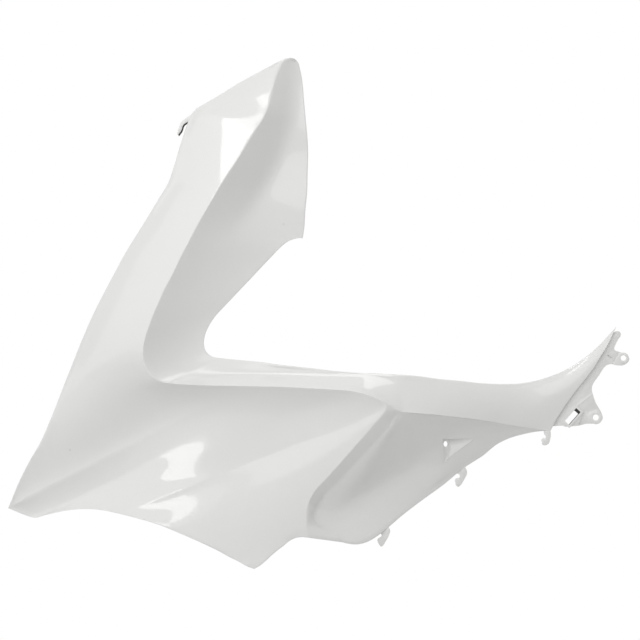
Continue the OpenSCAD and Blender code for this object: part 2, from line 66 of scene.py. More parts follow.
creaseRail = [
    [
        (-343, 395.5, 18), (-347.5, 390, 21), (-350.5, 382.5, 24), (-353.5, 376, 27),
        (-355.5, 367, 31), (-358.5, 355, 35), (-360.5, 345, 39), (-367.5, 328.5, 45)],
    [
        (-367.5, 328.5, 45), (-376, 315.5, 49), (-386, 299, 54), (-395.5, 283.5, 59),
        (-405.5, 268, 63), (-414.5, 254, 67), (-423, 239.5, 71), (-438.5, 212, 76)],
    [
        (-438.5, 212, 76), (-449.5, 191, 80), (-458.5, 173.5, 83), (-467, 156, 86),
        (-475, 140.5, 88), (-480.5, 128.5, 90), (-487, 114, 92), (-492.5, 98.5, 93),
        (-496.5, 85.5, 94), (-498, 74.5, 94), (-497.5, 63.5, 93), (-494, 55, 92)],
    [
        (-494, 55, 92), (-490.5, 49, 91), (-483.5, 43, 90), (-475, 39.5, 90), (-464, 38, 90),
        (-436.5, 36.5, 91), (-387, 35.5, 92)],
    [(-387, 35.5, 92), (-348.5, 34.5, 92), (-304.5, 32.5, 90), (-288, 31.5, 89)],
    [
        (-288, 31.5, 89), (-273.5, 30.5, 88), (-263.5, 29, 87), (-252.5, 26, 86), (-243, 22, 85),
        (-235, 17.5, 84), (-231, 12.5, 83)],
    [
        (-231, 12.5, 83), (-233, 7.5, 83), (-244, -6, 83), (-260.5, -25, 84), (-282.5, -50, 85),
        (-299, -68.5, 85), (-310, -80.5, 85), (-315.5, -90.5, 85)],
    [(-315.5, -90.5, 85), (-318, -101.5, 84), (-318.5, -114.5, 83)],
    [(-318.5, -114.5, 83), (-318.5, -131, 81)],
]
rearRail = [
    [
        (-336.5, 396.5, 17), (-331.5, 395, 14), (-328.5, 391.5, 12), (-326.5, 384.5, 11),
        (-324, 371.5, 10), (-322, 349.5, 11), (-320, 327.5, 13)],
    [
        (-320, 327.5, 13), (-318, 305.5, 13), (-317.5, 289, 13), (-318, 272.5, 14),
        (-318.5, 250.5, 16), (-320.5, 228.5, 18), (-322, 206.5, 20), (-323.5, 197.5, 22)],
    [
        (-323.5, 197.5, 22), (-329.5, 197.5, 23), (-335, 196, 25), (-340.5, 193.5, 27),
        (-345, 190, 29), (-359.5, 175.5, 33), (-376, 158, 38), (-392.5, 140.5, 43),
        (-409, 123, 47), (-420, 111, 50), (-426.5, 101, 52), (-431, 90, 53), (-432, 81, 54)],
    [
        (-432, 81, 54), (-430.5, 74.5, 54), (-426.5, 69.5, 54.5), (-420, 66.5, 55),
        (-412, 65.5, 55.5), (-392.5, 63.5, 57), (-370.5, 61.5, 59), (-348.5, 58.5, 61)],
    [
        (-348.5, 58.5, 61), (-326.5, 56, 60.5), (-304.5, 53.5, 59.5), (-282.5, 51, 58),
        (-260.5, 49.5, 56)],
    [(-260.5, 49.5, 56), (-244, 49, 54), (-227.5, 48, 52), (-216.5, 47.5, 50)],
    [
        (-216.5, 47.5, 50), (-194.5, 45.5, 42.5), (-172.5, 42.5, 34), (-150.5, 40.5, 26),
        (-128.5, 38, 18), (-106.5, 37, 11), (-84.5, 37.5, 5)],
    [(-84.5, 37.5, 5), (-62.5, 41.5, 0.5), (-51.5, 45, -0.5), (-40.5, 49, -1.5)],
    [
        (-40.5, 49, -1.5), (-29.5, 54.5, -2), (-18.5, 61.5, -2), (-7.5, 69.5, -1),
        (3.5, 79.5, 0), (12.5, 89, 1), (22.5, 100, 3)],
]
footRail = [
    [
        (-214, 6.5, 74), (-221, 2.5, 74), (-229.5, -10, 74), (-249.5, -32, 74),
        (-271.5, -55.5, 74), (-288, -73, 74), (-299, -84, 73.5), (-305.5, -92.5, 73)],
    [(-305.5, -92.5, 73), (-310, -101.5, 73), (-311, -108, 73), (-309, -113.5, 72.5)],
    [(-309, -113.5, 72.5), (-296.5, -123.5, 71.5), (-285.5, -131, 70), (-280, -136.5, 67)],
]
foldRail = [
    [
        (-214, 6.5, 74), (-194.5, 5, 66), (-172.5, 3, 55), (-150.5, 0.5, 44), (-134, -1.5, 36),
        (-106.5, -6, 22)],
    [(-106.5, -6, 22), (-90, -9, 15)],
    [(-90, -9, 15), (-68, -12.5, 7), (-50, -15, 3)],
]
spurRail = [
    (-376.5, -165.5, 79), (-370.5, -162, 79.5), (-365, -157.5, 80), (-354, -147.5, 80.5),
    (-345, -140.5, 81), (-337.5, -134.5, 81), (-331, -131.5, 81), (-324, -130.5, 81),
    (-318.5, -131, 81)]
bellyRail = [
    (-280, -137, 67), (-264, -139, 62), (-253, -136.5, 57), (-241.5, -130, 52),
    (-230.5, -121.5, 46), (-214.5, -108, 37), (-192, -91, 25), (-169.5, -75, 15),
    (-144, -54.5, 9), (-124.5, -42, 6.5), (-109, -29.5, 5), (-95.5, -23, 4.5), (-80, -18.5, 4),
    (-57.5, -15, 3), (-50, -15, 3)]
lipRail = [
    (-50, -15, 3), (-46.5, -8, 3), (-35.5, 10, 3), (-21, 30.5, 3), (-6.5, 48.5, 3),
    (4.5, 65.5, 3), (15.5, 84.5, 3), (22.5, 100, 3)]

# The skin is one grid: rows run from the blade's tip back to the lip, and columns
# from the front edge over the crease to the rear edge. Lengths are in mm.
shell = {
    "stations": [28, 32, 48, 32, 20, 16, 36, 14, 24],  # rows in each stretch of the rails
    "front": 64, "band": 14, "floor": 48, "rear": 56,  # columns in each strip
    "edgeSteps": [0.25, 0.8, 1.7, 2.6, 2.9, 4],  # columns from a free edge
    "creaseSteps": [0.35, 0.8, 1.4, 2.2],  # columns from the crease
    "wall": 2.6, "steepest": 0.45, "deepest": 10.3,
    "rim": 5, "rimCols": 5, "tipRows": 3, "edgeRound": 0.8,
    "creaseRound": 1.6, "creaseCols": 6, "thinStrip": 0.5,
    "bladeRun": 90, "waistBend": 2.0, "flatBend": 0.01, "footShare": 0.3,
    "toWaist": (92, 32), "toFlat": (148, 28),  # first row and number of rows of a change
    "tuck": 9, "tuckReach": 8, "tuckIn": (96, 24), "tuckOut": (164, 16),
    "crown": 7, "fullCrown": 120, "wingCrown": 5, "wingRows": 20,
    "spurPower": 8, "lipPower": 3,  # how late the last row's own curve takes over
    "fairing": 150, "pull": 0.6, "bladeRows": 96,
    "evenRadius": 6, "evenRows": 118,
}
kSum = np.cumsum(shell["stations"])
kTurn, kSplit, kEnd = kSum[4], kSum[5], kSum[8]
jCrease = shell["front"]
jFoot = jCrease + shell["band"]
jFold = jFoot + shell["floor"]
jEnd = jFold + shell["rear"]
edgeSteps, creaseSteps, footShare = shell["edgeSteps"], shell["creaseSteps"], shell["footShare"]


def mix(a, b, v):
    return a + (b - a) * v


def ease(v):
    v = np.clip(v, 0, 1)
    return v * v * (3 - 2 * v)


# Rises from 0 to 1 over a run that begins at first
def rise(v, first, run):
    return ease((v - first) / run)


# Nought at both ends and 1 in the middle
def arch(v):
    return 4 * v * (1 - v)


def stepLengths(p):
    return np.sqrt(((p[1:] - p[:-1]) ** 2).sum(1))


# A smooth curve through the points of a rail, read at shares of its length
def alongRail(points, shares, before=(), after=()):
    p = np.array(list(before) + list(points) + list(after), float)
    step = stepLengths(p)
    t = np.concatenate([[0], np.cumsum(step)])
    run = (p[1:] - p[:-1]) / step[:, None]
    m = np.empty_like(p)
    m[0], m[-1] = run[0], run[-1]
    m[1:-1] = ((run[:-1] * step[1:, None] + run[1:] * step[:-1, None])
               / (step[:-1] + step[1:])[:, None])
    a, b = t[len(before)], t[len(before) + len(points) - 1]
    s = a + (b - a) * np.asarray(shares)
    i = np.clip(np.searchsorted(t, s) - 1, 0, len(step) - 1)
    h = step[i][:, None]
    u = (s - t[i])[:, None] / h
    return ((2 * u ** 3 - 3 * u ** 2 + 1) * p[i] + (u ** 3 - 2 * u ** 2 + u) * h * m[i]
            + (3 * u ** 2 - 2 * u ** 3) * p[i + 1] + (u ** 3 - u ** 2) * h * m[i + 1])


# Shares from 0 to 1, close together near an end that has steps of its own
def spread(length, n, start=(), end=(), most=0.3):
    a = np.array(start) / length if len(start) else np.zeros(0)
    b = np.array(end) / length if len(end) else np.zeros(0)
    a = a * min(1, most / a[-1]) if len(a) else a
    b = b * min(1, most / b[-1]) if len(b) else b
    first, last = (a[-1] if len(a) else 0), 1 - (b[-1] if len(b) else 0)
    middle = np.linspace(first, last, n - len(a) - len(b) + 1)
    return np.concatenate([[0] if len(a) else [], a[:-1], middle, (1 - b[:-1])[::-1],
                           [1] if len(b) else []])


# A point for every row; a joint that isn't a corner is passed smoothly
def wholeRail(stretches, corners, first=0):
    out = []
    for i, points in enumerate(stretches):
        n = shell["stations"][i + first]
        last = i == len(stretches) - 1
        before = [] if i == 0 or i in corners else [stretches[i - 1][-2]]
        after = [] if last or i + 1 in corners else [stretches[i + 1][1]]
        length = stepLengths(np.array(points, float)).sum()
        shares = spread(length, n, end=edgeSteps) if last else np.arange(n) / n
        out.append(alongRail(points, shares, before, after))
    return np.vstack(out)


frontC = wholeRail(frontRail, [1, 4])
creaseC = wholeRail(creaseRail, [])
rearC = wholeRail(rearRail, [2])
footC = wholeRail(footRail, [], 6)
foldC = wholeRail(foldRail, [], 6)
bellyC = alongRail(bellyRail, np.linspace(0, 1, shell["floor"] + 1))
footShift = footC[0] - mix(creaseC[kSplit], rearC[kSplit], footShare)


# How far a row has come from the turn of the crease to the split, squared
def parting(k):
    w = min(max((k - kTurn) / (kSplit - kTurn), 0), 1)
    return w * w


# How far a row has come along the recess, 0 to 1
def reach(k):
    if k <= kSplit:
        return 0
    return 1 - np.linalg.norm(foldC[-1] - foldC[k - kSplit]) / np.linalg.norm(foldC[-1] - foldC[0])


def footAt(k):
    if k >= kSplit:
        return footC[k - kSplit]
    return mix(creaseC[k], rearC[k], footShare) + footShift * parting(k)


def foldAt(k):
    return foldC[k - kSplit] if k >= kSplit else footAt(k)


def frontShares(k):
    return spread(np.linalg.norm(creaseC[k] - frontC[k]), shell["front"], edgeSteps, creaseSteps)


def rearShares(k):
    return spread(np.linalg.norm(rearC[k] - foldAt(k)), shell["rear"], end=edgeSteps)


frontLast, rearLast = frontShares(kEnd), rearShares(kEnd)
spurC = alongRail(spurRail, frontLast)
lipC = alongRail(lipRail, rearLast)

# Swellings and dips: centre x and z, half length, half width, angle, height
swells = [
    (-440, -40, 120, 26, 32, 9),
    (-500, 0, 110, 22, 32, -8),
    (-560, -40, 60, 16, 34, 5),
    (-540, -78, 60, 12, 4, -5),
]


def swelling(x, z):
    total = 0
    for sx, sz, long, wide, turn, height in swells:
        c, s = math.cos(math.radians(turn)), math.sin(math.radians(turn))
        u = (x - sx) * c + (z - sz) * s
        w = (z - sz) * c - (x - sx) * s
        total = total + height * np.exp(-(u / long) ** 2 - (w / wide) ** 2)
    return total


# The bright ledge over the waist: x where its inner fold starts, and the x over which
# it fades in and out; the rest are shares of the way from the crease to the rear edge
ledge = {
    "x": -415, "run": 138, "from": 0.45, "gain": 0.5, "least": 0.3,
    "upstand": 0.15, "soft": 0.03, "fadeIn": (-450, 45), "fadeOut": (-310, 40),
}


# Behind the crease the skin falls fast and then levels out
def fallen(k, s):
    blade = np.linalg.norm((rearC[k] - creaseC[k])[:2]) / shell["bladeRun"]
    bend = mix(blade, shell["waistBend"], rise(k, *shell["toWaist"]))
    bend = mix(bend, shell["flatBend"], rise(k, *shell["toFlat"]))
    share = (1 - np.exp(-bend * s)) / (1 - np.exp(-bend))
    # On the ledge the fall ends at a soft inner fold, with a low upstand above it
    x = creaseC[k][0]
    at = ledge["from"] + ledge["gain"] * (x - ledge["x"]) / ledge["run"]
    if ledge["least"] < at < 1:
        up, soft = ledge["upstand"], ledge["soft"]
        low, high = s / at * (1 - up * (1 - at)), 1 - up * (1 - s)
        folded = -soft * np.log(np.exp(-low / soft) + np.exp(-high / soft))
        share = mix(share, folded, rise(x, *ledge["fadeIn"]) * (1 - rise(x, *ledge["fadeOut"])))
    lift = footShift[2] * parting(k) * np.minimum(s / footShare, (1 - s) / (1 - footShare))
    return mix(creaseC[k][2], rearC[k][2], share) + lift


# One row of the grid as x, z and depth outward
def drawnRow(k):
    row = np.zeros((jEnd + 1, 3))
    r = reach(k)
    # Front skin: crowned and swollen, tucked in under the waist
    wide = np.linalg.norm(creaseC[k] - frontC[k])
    v = frontShares(k)
    p = mix(frontC[k], creaseC[k], v[:, None])
    p = p + (spurC - mix(frontC[kEnd], creaseC[kEnd], frontLast[:, None])) * r ** shell["spurPower"]
    tuck = shell["tuck"] * rise(k, *shell["tuckIn"]) * (1 - rise(k, *shell["tuckOut"]))
    crown = shell["crown"] * min(1, wide / shell["fullCrown"]) * (1 - r)
    p[:, 2] += (-tuck * v * (1 - np.exp(-(1 - v) * wide / shell["tuckReach"]))
                + crown * arch(v)
                + swelling(p[:, 0], p[:, 1]) * ease(v * 4) * ease((1 - v) * 4))
    row[:jCrease + 1] = p
    # Recess floor
    v = np.linspace(0, 1, shell["floor"] + 1)[:, None]
    row[jFoot:jFold + 1] = (mix(footAt(k), foldAt(k), v)
                            + (bellyC - mix(footAt(kEnd), foldAt(kEnd), v)) * r)
    # Wall band behind the crease
    v = spread(np.linalg.norm(footAt(k) - creaseC[k]), shell["band"], creaseSteps)
    row[jCrease:jFoot + 1] = mix(creaseC[k], footAt(k), v[:, None])
    if k < kSplit:
        row[jCrease:jFoot + 1, 2] = fallen(k, footShare * v)
    # Rear skin, which ends at the lip
    v = rearShares(k)
    p = mix(foldAt(k), rearC[k], v[:, None])
    if k < kSplit:
        p[:, 2] = fallen(k, footShare + (1 - footShare) * v)
    else:
        wing = shell["wingCrown"] * rise(k, kSplit, shell["wingRows"]) * (1 - r)
        p[:, 2] += wing * arch(v)
    toLip = lipC - mix(foldAt(kEnd), rearC[kEnd], rearLast[:, None])
    row[jFold:] = p + toLip * r ** shell["lipPower"]
    return row


# Before the split the floor has no width, so its columns lie on its foot
def closeFloor(grid):
    grid[:kSplit + 1, jFoot + 1:jFold + 1] = grid[:kSplit + 1, jFoot:jFoot + 1]


# The depth between two neighbours, the nearer one counting more
def between(d, a, b):
    u = np.linalg.norm(d - a, axis=2)
    w = np.linalg.norm(b - d, axis=2)
    return (a[..., 2] * w + b[..., 2] * u) / np.maximum(u + w, 1e-6)


# Depths drift to the mean of their neighbours, creases and free edges stay
def faired(grid, rounds):
    fixed = np.zeros(grid.shape[:2], bool)
    n = len(edgeSteps) + 1
    fixed[0] = fixed[-n:] = fixed[:, :n] = fixed[:, -n:] = True
    fixed[:, jCrease] = fixed[:shell["bladeRows"], jCrease:] = True
    fixed[kSplit:, jFoot] = fixed[kSplit:, jFold] = True
    every = list(range(jEnd + 1))
    blocks = [(slice(0, kSplit + 1), every[:jFoot + 1] + every[jFold + 1:]),
              (slice(kSplit, kEnd + 1), every)]
    for _ in range(rounds):
        for rows, cols in blocks:
            g = grid[rows][:, cols]
            d = g[1:-1, 1:-1]
            y = (between(d, g[1:-1, :-2], g[1:-1, 2:])
                 + between(d, g[:-2, 1:-1], g[2:, 1:-1])) / 2
            keep = fixed[rows][:, cols][1:-1, 1:-1]
            g[1:-1, 1:-1, 2] = np.where(keep, d[..., 2], mix(d[..., 2], y, shell["pull"]))
            grid[rows, cols] = g
        closeFloor(grid)
    return grid


# Depths in a patch are read again from a local plane fitted round each point
def evened(grid, patch, radius, batch=500):
    p = grid[patch]
    thin = patch.copy()
    thin[1::2] = thin[:, 1::2] = False
    near = grid[thin]
    out = np.empty(len(p))
    for i in range(0, len(p), batch):
        q = p[i:i + batch]
        dx = near[None, :, 0] - q[:, None, 0]
        dz = near[None, :, 1] - q[:, None, 1]
        w = np.exp(-(dx ** 2 + dz ** 2) / (2 * radius ** 2))
        base = np.stack([np.ones_like(dx), dx, dz], axis=2)
        left = np.matmul((w[..., None] * base).transpose(0, 2, 1), base)
        right = np.einsum("nm,nma->na", w * near[None, :, 2], base)
        out[i:i + batch] = np.linalg.solve(left, right[..., None])[:, 0, 0]
    grid[patch, 2] = out
    return grid


def gap(a, b):
    return np.linalg.norm((a - b)[..., :2], axis=-1)


# How far a rounded edge falls back at a distance from it
def edgeDrop(distance):
    r = shell["edgeRound"]
    d = np.clip(r - distance, 0, r)
    return r - np.sqrt(r * r - d * d)


skin = faired(np.array([drawnRow(k) for k in range(kEnd + 1)]), shell["fairing"])
kk, jj = np.meshgrid(np.arange(kEnd + 1), np.arange(jEnd + 1), indexing="ij")
bladeRows = (kk >= shell["tipRows"]) & (kk < shell["evenRows"])
bladeCols = (jj > jCrease + 2) & ((jj <= jFoot) | (jj > jFold))
skin = evened(skin, bladeRows & bladeCols, shell["evenRadius"])
closeFloor(skin)
print("skin grid", skin.shape)

# A small round along the crease, where the strips beside it have some width
q, n = shell["creaseRound"], shell["creaseCols"]
for row in skin:
    left = gap(row[jCrease - n:jCrease], row[jCrease])
    right = gap(row[jCrease + 1:jCrease + n + 1], row[jCrease])
    if min(left[0], right[-1]) < shell["thinStrip"]:
        continue
    slopeBefore = (row[jCrease, 2] - row[jCrease - n, 2]) / left[0]
    slopeAfter = (row[jCrease + n, 2] - row[jCrease, 2]) / right[-1]
    away = np.concatenate([left, [0], right])
    row[jCrease - n:jCrease + n + 1, 2] += (
        (slopeAfter - slopeBefore) * np.maximum(q - away, 0) ** 2 / (4 * q))

# The free edges fall back in a small round
n = shell["rimCols"]
drop = np.zeros(skin.shape[:2])
for part, edge in [(np.s_[:, :n], np.s_[:, :1]), (np.s_[:, -n:], np.s_[:, -1:]),
                   (np.s_[:shell["tipRows"]], np.s_[:1]), (np.s_[-n:], np.s_[-1:])]:
    drop[part] = np.maximum(drop[part], edgeDrop(gap(skin[part], skin[edge])))
outer = np.stack([skin[..., 0], -skin[..., 2] + drop, skin[..., 1]], axis=2)

# The inner face lies one wall behind, and deeper along the rim
normal = np.cross(np.gradient(outer, axis=0), np.gradient(outer, axis=1))
normal /= np.maximum(np.linalg.norm(normal, axis=2, keepdims=True), 1e-9)
inner = outer.copy()
inner[..., 1] = (-skin[..., 2]
                 + shell["wall"] / np.maximum(np.abs(normal[..., 1]), shell["steepest"]))
onRim = np.zeros(skin.shape[:2], bool)
onRim[:, :n] = onRim[:, -n:] = onRim[-n:] = True
inner[..., 1] += np.where(onRim, shell["rim"], 0)
closeFloor(inner)
inner[..., 1] = np.minimum(inner[..., 1], shell["deepest"])


# A node with its settings, then the values or links of its sockets
def addNode(tree, kind, settings, sockets):
    n = tree.nodes.new(kind)
    for key, v in settings.items():
        setattr(n, key, v)
    for key, v in sockets.items():
        if isinstance(v, bpy.types.NodeSocket):
            tree.links.new(v, n.inputs[key])
        else:
            n.inputs[key].default_value = v
    return n


# Shader sums written as sums: each wire is an output socket of a tree
class Wire:
    def __init__(self, tree, out):
        self.tree, self.out = tree, out

    def join(self, kind, other, flip=False):
        other = other.out if isinstance(other, Wire) else other
        a, b = (other, self.out) if flip else (self.out, other)
        n = addNode(self.tree, "ShaderNodeMath", {"operation": kind}, {0: a, 1: b})
        return Wire(self.tree, n.outputs[0])

    def __add__(self, other):
        return self.join("ADD", other)

    def __sub__(self, other):
        return self.join("SUBTRACT", other)

    def __rsub__(self, other):
        return self.join("SUBTRACT", other, True)

    def __mul__(self, other):
        return self.join("MULTIPLY", other)

    def __truediv__(self, other):
        return self.join("DIVIDE", other)

    def top(self, other):
        return self.join("MAXIMUM", other)

    def low(self, other):
        return self.join("MINIMUM", other)


class Paint:
    def __init__(self, name, color, rough, coat=0):
        self.made = bpy.data.materials.new(name)
        self.made.use_nodes = True
        self.tree = self.made.node_tree
        self.face = self.tree.nodes["Principled BSDF"]
        self.color = color
        self.face.inputs["Base Color"].default_value = (*color, 1)
        self.face.inputs["Roughness"].default_value = rough
        self.face.inputs["Coat Weight"].default_value = coat
        self.place = self.node("ShaderNodeTexCoord", {}, {}).outputs["Object"]

    def node(self, kind, settings, sockets):
        return addNode(self.tree, kind, settings, sockets)

    def drive(self, name, out):
        self.tree.links.new(out, self.face.inputs[name])

    def noise(self, scale, detail):
        n = self.node("ShaderNodeTexNoise", {},
                      {"Scale": scale, "Detail": detail, "Vector": self.place})
        return Wire(self.tree, n.outputs["Fac"])

    # Noise round nought, as wide as the amount
    def uneven(self, scale, detail, amount):
        return (self.noise(scale, detail) - 0.5) * amount

    # Distance in the side view from a point given in mm
    def away(self, x, z):
        flat = self.node("ShaderNodeVectorMath", {"operation": "MULTIPLY"},
                         {0: self.place, 1: (1, 0, 1)})
        far = self.node("ShaderNodeVectorMath", {"operation": "DISTANCE"},
                        {0: flat.outputs[0], 1: (x * mm, 0, z * mm)})
        return Wire(self.tree, far.outputs["Value"])

    def shade(self, amount, other):
        n = self.node("ShaderNodeMix", {"data_type": "RGBA"},
                      {"Factor": amount.out, 6: (*self.color, 1), 7: (*other, 1)})
        self.drive("Base Color", n.outputs[2])

    def bump(self, height, strength, depth):
        n = self.node("ShaderNodeBump", {},
                      {"Strength": strength, "Distance": depth, "Height": height.out})
        self.drive("Normal", n.outputs["Normal"])


# Colours, roughnesses, noises as scale, detail and amount, bumps as strength and depth
finish = {
    "pearl": (0.87, 0.872, 0.855), "pearlDark": (0.8, 0.802, 0.785), "pearlRough": 0.4,
    "coatRough": 0.06, "flake": (2600, 1, 0.12), "cloud": (9, 2, 0.1), "gloss": (40, 3, 0.08),
    "peel": (420, 1), "peelBump": (0.03, 0.0004),
    "marks": [(-579.5, -35.5), (-344.5, 213)], "markSize": 1.5, "markShade": 5, "markSink": 3,
    "raw": (0.018, 0.018, 0.019), "rawGrey": (0.03, 0.03, 0.031), "rawRough": 0.55,
    "rawCloud": (60, 3), "rawGloss": (300, 2, 0.2), "grain": (1500, 2),
    "grainBump": (0.25, 0.0002),
}
pearlPaint = Paint("pearlPaint", finish["pearl"], finish["pearlRough"], 1)
pearlPaint.face.inputs["Coat Roughness"].default_value = finish["coatRough"]
spots = [pearlPaint.away(*p) for p in finish["marks"]]
sinkMarkAndShade = (1 - spots[0].low(spots[1]) / (finish["markSize"] * mm)).top(0).low(1)
flake = pearlPaint.uneven(*finish["flake"]) + pearlPaint.uneven(*finish["cloud"])
# Darker colour at the sink marks is painted shade in the dimples; the dimples themselves are the
# bump below
pearlPaint.shade((sinkMarkAndShade * finish["markShade"] + flake).top(0).low(1), finish["pearlDark"])
pearlPaint.drive("Roughness", (pearlPaint.uneven(*finish["gloss"]) + finish["pearlRough"]).out)
pearlPaint.bump(pearlPaint.noise(*finish["peel"]) - sinkMarkAndShade * finish["markSink"],
                *finish["peelBump"])
pearl = pearlPaint.made
rawPlastic = Paint("rawPlastic", finish["raw"], finish["rawRough"])
rawPlastic.shade(rawPlastic.noise(*finish["rawCloud"]), finish["rawGrey"])
rawPlastic.drive("Roughness", (rawPlastic.uneven(*finish["rawGloss"]) + finish["rawRough"]).out)
rawPlastic.bump(rawPlastic.noise(*finish["grain"]), *finish["grainBump"])
raw = rawPlastic.made


smoothAngle, bevelAngle = math.radians(40), math.radians(35)


def pick(o):
    bpy.ops.object.select_all(action="DESELECT")
    o.select_set(True)
    bpy.context.view_layer.objects.active = o


def smooth(o):
    pick(o)
    bpy.ops.object.shade_smooth_by_angle(angle=smoothAngle)
    o.select_set(False)


# Turns all faces outward, after doubled points are merged where that is asked
def outward(o, merge=0):
    pick(o)
    bpy.ops.object.mode_set(mode="EDIT")
    bpy.ops.mesh.select_all(action="SELECT")
    if merge:
        bpy.ops.mesh.remove_doubles(threshold=merge)
    bpy.ops.mesh.normals_make_consistent(inside=False)
    bpy.ops.object.mode_set(mode="OBJECT")


# An object from points in mm and faces
def meshed(name, points, faces):
    mesh = bpy.data.meshes.new(name)
    mesh.from_pydata((np.array(points) * mm).tolist(), [], faces)
    o = bpy.data.objects.new(name, mesh)
    bpy.context.collection.objects.link(o)
    return o


def own(o):
    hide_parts("side_panel")
    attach(o, "root")


# Name, material and bevel for a finished shape
def dress(o, name, kind, bevel=0.4, segments=2):
    pick(o)
    o.name = name
    o.data.name = name
    o.data.materials.clear()
    o.data.materials.append(kind)
    bpy.ops.object.transform_apply(location=True, rotation=True, scale=True)
    if bevel:
        b = o.modifiers.new("bevel", "BEVEL")
        b.width = bevel * mm
        b.segments = segments
        b.limit_method = "ANGLE"
        b.angle_limit = bevelAngle
        bpy.ops.object.modifier_apply(modifier="bevel")
    smooth(o)
    return o


# A point some way along and across from a place, in a frame turned by some degrees
def turnedFrom(x, z, turn, along, across):
    c, s = math.cos(math.radians(turn)), math.sin(math.radians(turn))
    return x + along * c - across * s, z + along * s + across * c


# A plate: a flat outline in x and z, pushed back from its front face
def plate(points, front, thick, rounds=0, corner=0.22):
    pts = np.array(points, float)
    for _ in range(rounds):
        after = np.roll(pts, -1, axis=0)
        pts = np.stack([mix(pts, after, corner), mix(after, pts, corner)], axis=1)
        pts = pts.reshape(-1, 2)
    bpy.ops.mesh.primitive_circle_add(vertices=len(pts), fill_type="NGON")
    o = bpy.context.object
    for vertex, (x, z) in zip(o.data.vertices, pts):
        vertex.co = (x * mm, front * mm, z * mm)
    bpy.ops.object.mode_set(mode="EDIT")
    bpy.ops.mesh.select_all(action="SELECT")
    bpy.ops.mesh.extrude_region_move(TRANSFORM_OT_translate={"value": (0, thick * mm, 0)})
    bpy.ops.object.mode_set(mode="OBJECT")
    outward(o)
    return o


# A rectangle turned in the side view, from depth y0 to y1
def slotted(x, z, long, wide, turn, y0, y1):
    half = [(-long / 2, -wide / 2), (long / 2, -wide / 2), (long / 2, wide / 2),
            (-long / 2, wide / 2)]
    return plate([turnedFrom(x, z, turn, *h) for h in half], y0, y1 - y0)


def disc(x, z, d, y0, y1, sides=64):
    bpy.ops.mesh.primitive_cylinder_add(
        vertices=sides, radius=d / 2 * mm, depth=(y1 - y0) * mm,
        location=(x * mm, (y0 + y1) / 2 * mm, z * mm), rotation=(math.pi / 2, 0, 0))
    bpy.ops.object.transform_apply(location=True, rotation=True, scale=True)
    return bpy.context.object


# A solid between two layers of the same outline: x and z with a front and a back depth
def wedge(edge, front, back):
    n = len(edge)
    pts = [(x, y, z) for depths in (front, back) for (x, z), y in zip(edge, depths)]
    fan = [(0, i, i + 1) for i in range(1, n - 1)]
    faces = [f[::-1] for f in fan] + [tuple(n + i for i in f) for f in fan]
    faces += [(i, (i + 1) % n, n + (i + 1) % n, n + i) for i in range(n)]
    o = meshed("wedge", pts, faces)
    outward(o)
    return o


# Adds one shape to another or cuts it away from it, and then removes it
def shape(o, other, way, solver="EXACT"):
    pick(o)
    b = o.modifiers.new("cut", "BOOLEAN")
    b.operation = way
    b.object = other
    b.solver = solver
    bpy.ops.object.modifier_apply(modifier="cut")
    data = other.data
    bpy.data.objects.remove(other)
    bpy.data.meshes.remove(data)


def skinFaces(offset, flip):
    faces = []
    wide = jEnd + 1
    for k in range(kEnd):
        for j in range(jEnd):
            onFloor = jFoot <= j < jFold
            if k < kSplit and onFloor:
                continue
            before = jFoot if k < kSplit and j == jFold else j
            a, b = k * wide + before, k * wide + j + 1
            c, d = b + wide, a + wide
            quad = (a, c, d) if k == kSplit and onFloor else (a, b, c, d)
            quad = tuple(offset + i for i in quad)
            faces.append(quad[::-1] if flip else quad)
    return faces


# Both faces of the skin, joined by a wall round its free edge
def makeSkin():
    count = (kEnd + 1) * (jEnd + 1)
    wide = jEnd + 1
    front, back = skinFaces(0, True), skinFaces(count, False)
    ring = [k * wide for k in range(kEnd + 1)]
    ring += [kEnd * wide + j for j in range(1, jEnd + 1)]
    ring += [k * wide + jEnd for k in range(kEnd - 1, -1, -1)]
    top = [j for j in range(jEnd, -1, -1) if not jFoot < j <= jFold]
    ring += top[1:-1]
    walls = [(a, b, b + count, a + count) for a, b in zip(ring, ring[1:] + ring[:1])]
    o = meshed("paintedSkin", np.vstack([outer.reshape(-1, 3), inner.reshape(-1, 3)]),
               front + back + walls)
    o.data.materials.append(pearl)
    o.data.materials.append(raw)
    kinds = [0] * len(front) + [1] * len(back) + [0] * len(walls)
    o.data.polygons.foreach_set("material_index", kinds)
    outward(o, 0.02 * mm)
    smooth(o)
    return o


paintedSkin = makeSkin()

# The scoop in the recess, with its screw seat; depths are one for each point
scoop = {
    "mouth": [(-161, -23.5), (-169.5, -23.5), (-167.5, -47.5), (-160.5, -42.5), (-134, -23)],
    "open": [-75] * 5, "bed": [-16.2, -21, -19.9, -15.9, -15.7],
    "edge": [(-161, -21), (-172, -21), (-170, -52.5), (-162.5, -47), (-129.5, -22)],
    "front": [-25.8, -31.2, -19.7, -18.3, -14], "back": [-13.2, -19.4, -18.3, -14, -12],
    "seat": (-165.5, -18.7, -29), "turn": 29.7, "bore": 6.5, "boreLong": 20,
    "sill": [(-160.5, -43.3), (-134, -23.6), (-141, -28.4), (-146.5, -30.6), (-156, -34.2),
             (-159.5, -34), (-164, -40), (-167, -48.5)],
    "sillFront": [-19.2, -15.9, -15.5, -15.3, -15, -15, -17, -20.6], "sillBack": [-14] * 8,
}
cup = dress(wedge(scoop["edge"], scoop["front"], scoop["back"]), "scoopCup", pearl, 0)
shape(paintedSkin, cup, "UNION", "MANIFOLD")
shape(paintedSkin, wedge(scoop["mouth"], scoop["open"], scoop["bed"]), "DIFFERENCE", "MANIFOLD")
sill = dress(wedge(scoop["sill"], scoop["sillFront"], scoop["sillBack"]), "scoopSill", pearl, 0)
shape(paintedSkin, sill, "UNION", "MANIFOLD")
